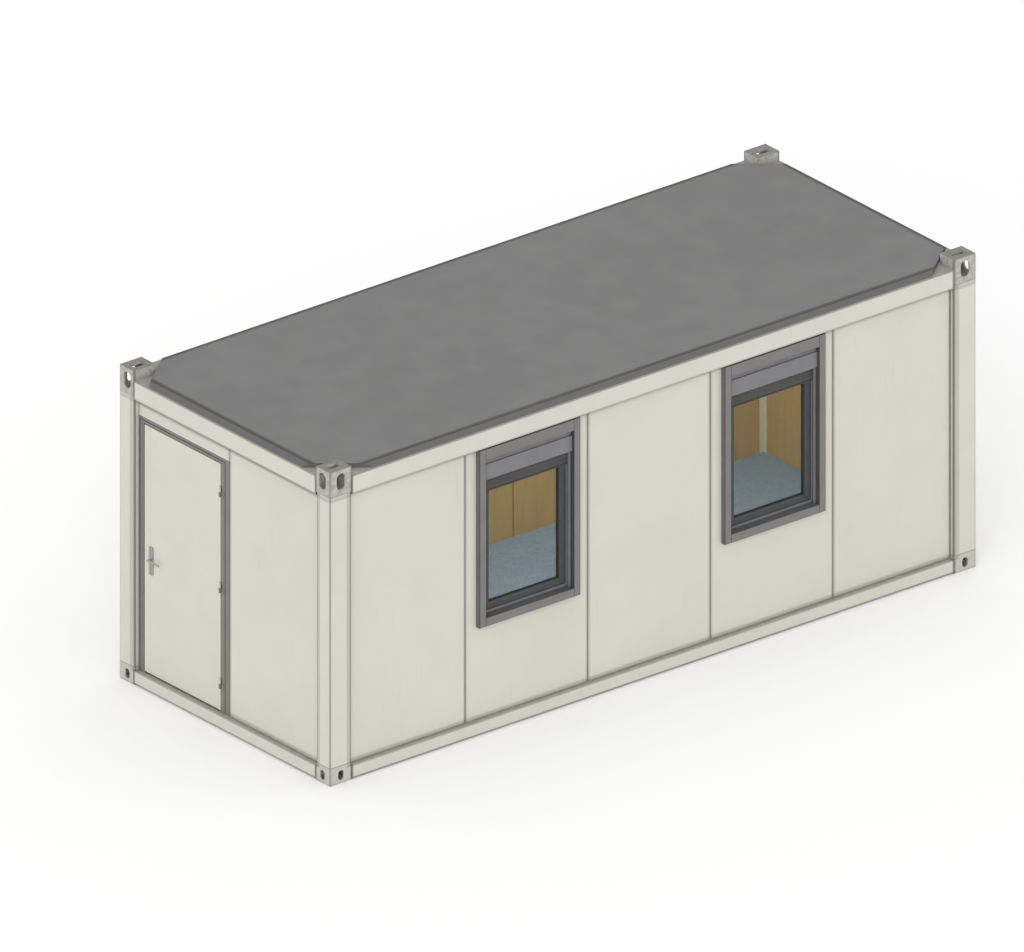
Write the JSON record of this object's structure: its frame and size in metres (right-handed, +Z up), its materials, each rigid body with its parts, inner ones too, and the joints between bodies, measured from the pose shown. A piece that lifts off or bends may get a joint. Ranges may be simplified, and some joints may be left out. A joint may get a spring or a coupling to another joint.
{
  "type": "office container",
  "caption": "Site office container: steel frame with corner castings, panel walls, flat grey roof, shuttered windows and a hinged end door.",
  "frame": {"origin": "on the ground under the middle of the container", "axes": "+X along the length, away from the door end; -Y towards the window wall; +Z up"},
  "size_m": [6.058, 2.438, 2.52],
  "materials": {
    "frame_paint": "satin off-white paint on steel",
    "panel_paint": "satin off-white coating on steel facings",
    "roof_coating": "matt mid grey coated steel",
    "galvanised": "galvanised, dull",
    "deck_board": "raw chipboard",
    "floor_vinyl": "blue-grey sheet vinyl",
    "ceiling_coating": "white coated",
    "lining_wood": "oak foil on chipboard",
    "trim_plastic": "cream plastic",
    "surround_grey": "grey powder coat",
    "shutter_grey": "bluish grey powder coat",
    "curtain_grey": "dark grey lacquered slats",
    "window_frame_plastic": "dark grey foil on plastic",
    "pane_glass": "clear, faint blue-green",
    "door_frame_grey": "grey paint on steel",
    "door_paint": "satin off-white paint on steel",
    "handle_metal": "satin anodised",
    "hinge_steel": "zinc plated"
  },
  "bodies": {
    "container": {"top_corner_castings": "frame_paint", "bottom_corner_castings": "frame_paint", "corner_posts": "frame_paint", "floor_side_rails": "frame_paint", "floor_end_rails": "frame_paint", "roof_side_rails": "frame_paint", "roof_end_rails": "frame_paint", "roof_sheet": "roof_coating", "underfloor_sheet": "galvanised", "floor_beams": "galvanised", "floor_deck": "deck_board", "floor_covering": "floor_vinyl", "ceiling": "ceiling_coating", "front_panel_1": "panel_paint", "front_panel_2": "panel_paint", "front_panel_3": "panel_paint", "front_panel_4": "panel_paint", "front_panel_5": "panel_paint", "back_panels": "panel_paint", "far_end_panels": "panel_paint", "door_end_panel": "panel_paint", "door_header_panel": "panel_paint", "front_lining": "lining_wood", "back_lining": "lining_wood", "far_end_lining": "lining_wood", "door_end_lining": "lining_wood", "inner_corner_trims": "trim_plastic", "window_1_surround": "surround_grey", "window_1_shutter_box": "shutter_grey", "window_1_shutter_curtain": "curtain_grey", "window_1_casement": "window_frame_plastic", "window_1_sash": "window_frame_plastic", "window_1_glass": "pane_glass", "window_2_surround": "surround_grey", "window_2_shutter_box": "shutter_grey", "window_2_shutter_curtain": "curtain_grey", "window_2_casement": "window_frame_plastic", "window_2_sash": "window_frame_plastic", "window_2_glass": "pane_glass", "door_frame": "door_frame_grey", "door_frame_hinges": "hinge_steel"},
    "door": {"door_leaf": "door_paint", "door_handle_plates": "handle_metal", "door_leaf_hinges": "hinge_steel"},
    "lever": {"door_lever": "handle_metal"}
  },
  "joints": [
    {"name": "door_hinge", "type": "hinge", "parent": "container", "child": "door", "pos_m": [-2.994, 0.1015, 1.1155], "axis": [0, 0, 1], "range_deg": [0, 120]},
    {"name": "lever_turn", "type": "hinge", "parent": "door", "child": "lever", "pos_m": [-2.964, 0.9045, 1.05], "axis": [1, 0, 0], "range_deg": [0, 40], "stiffness_Nm_per_rad": 1, "springref_deg": -34.38}
  ]
}
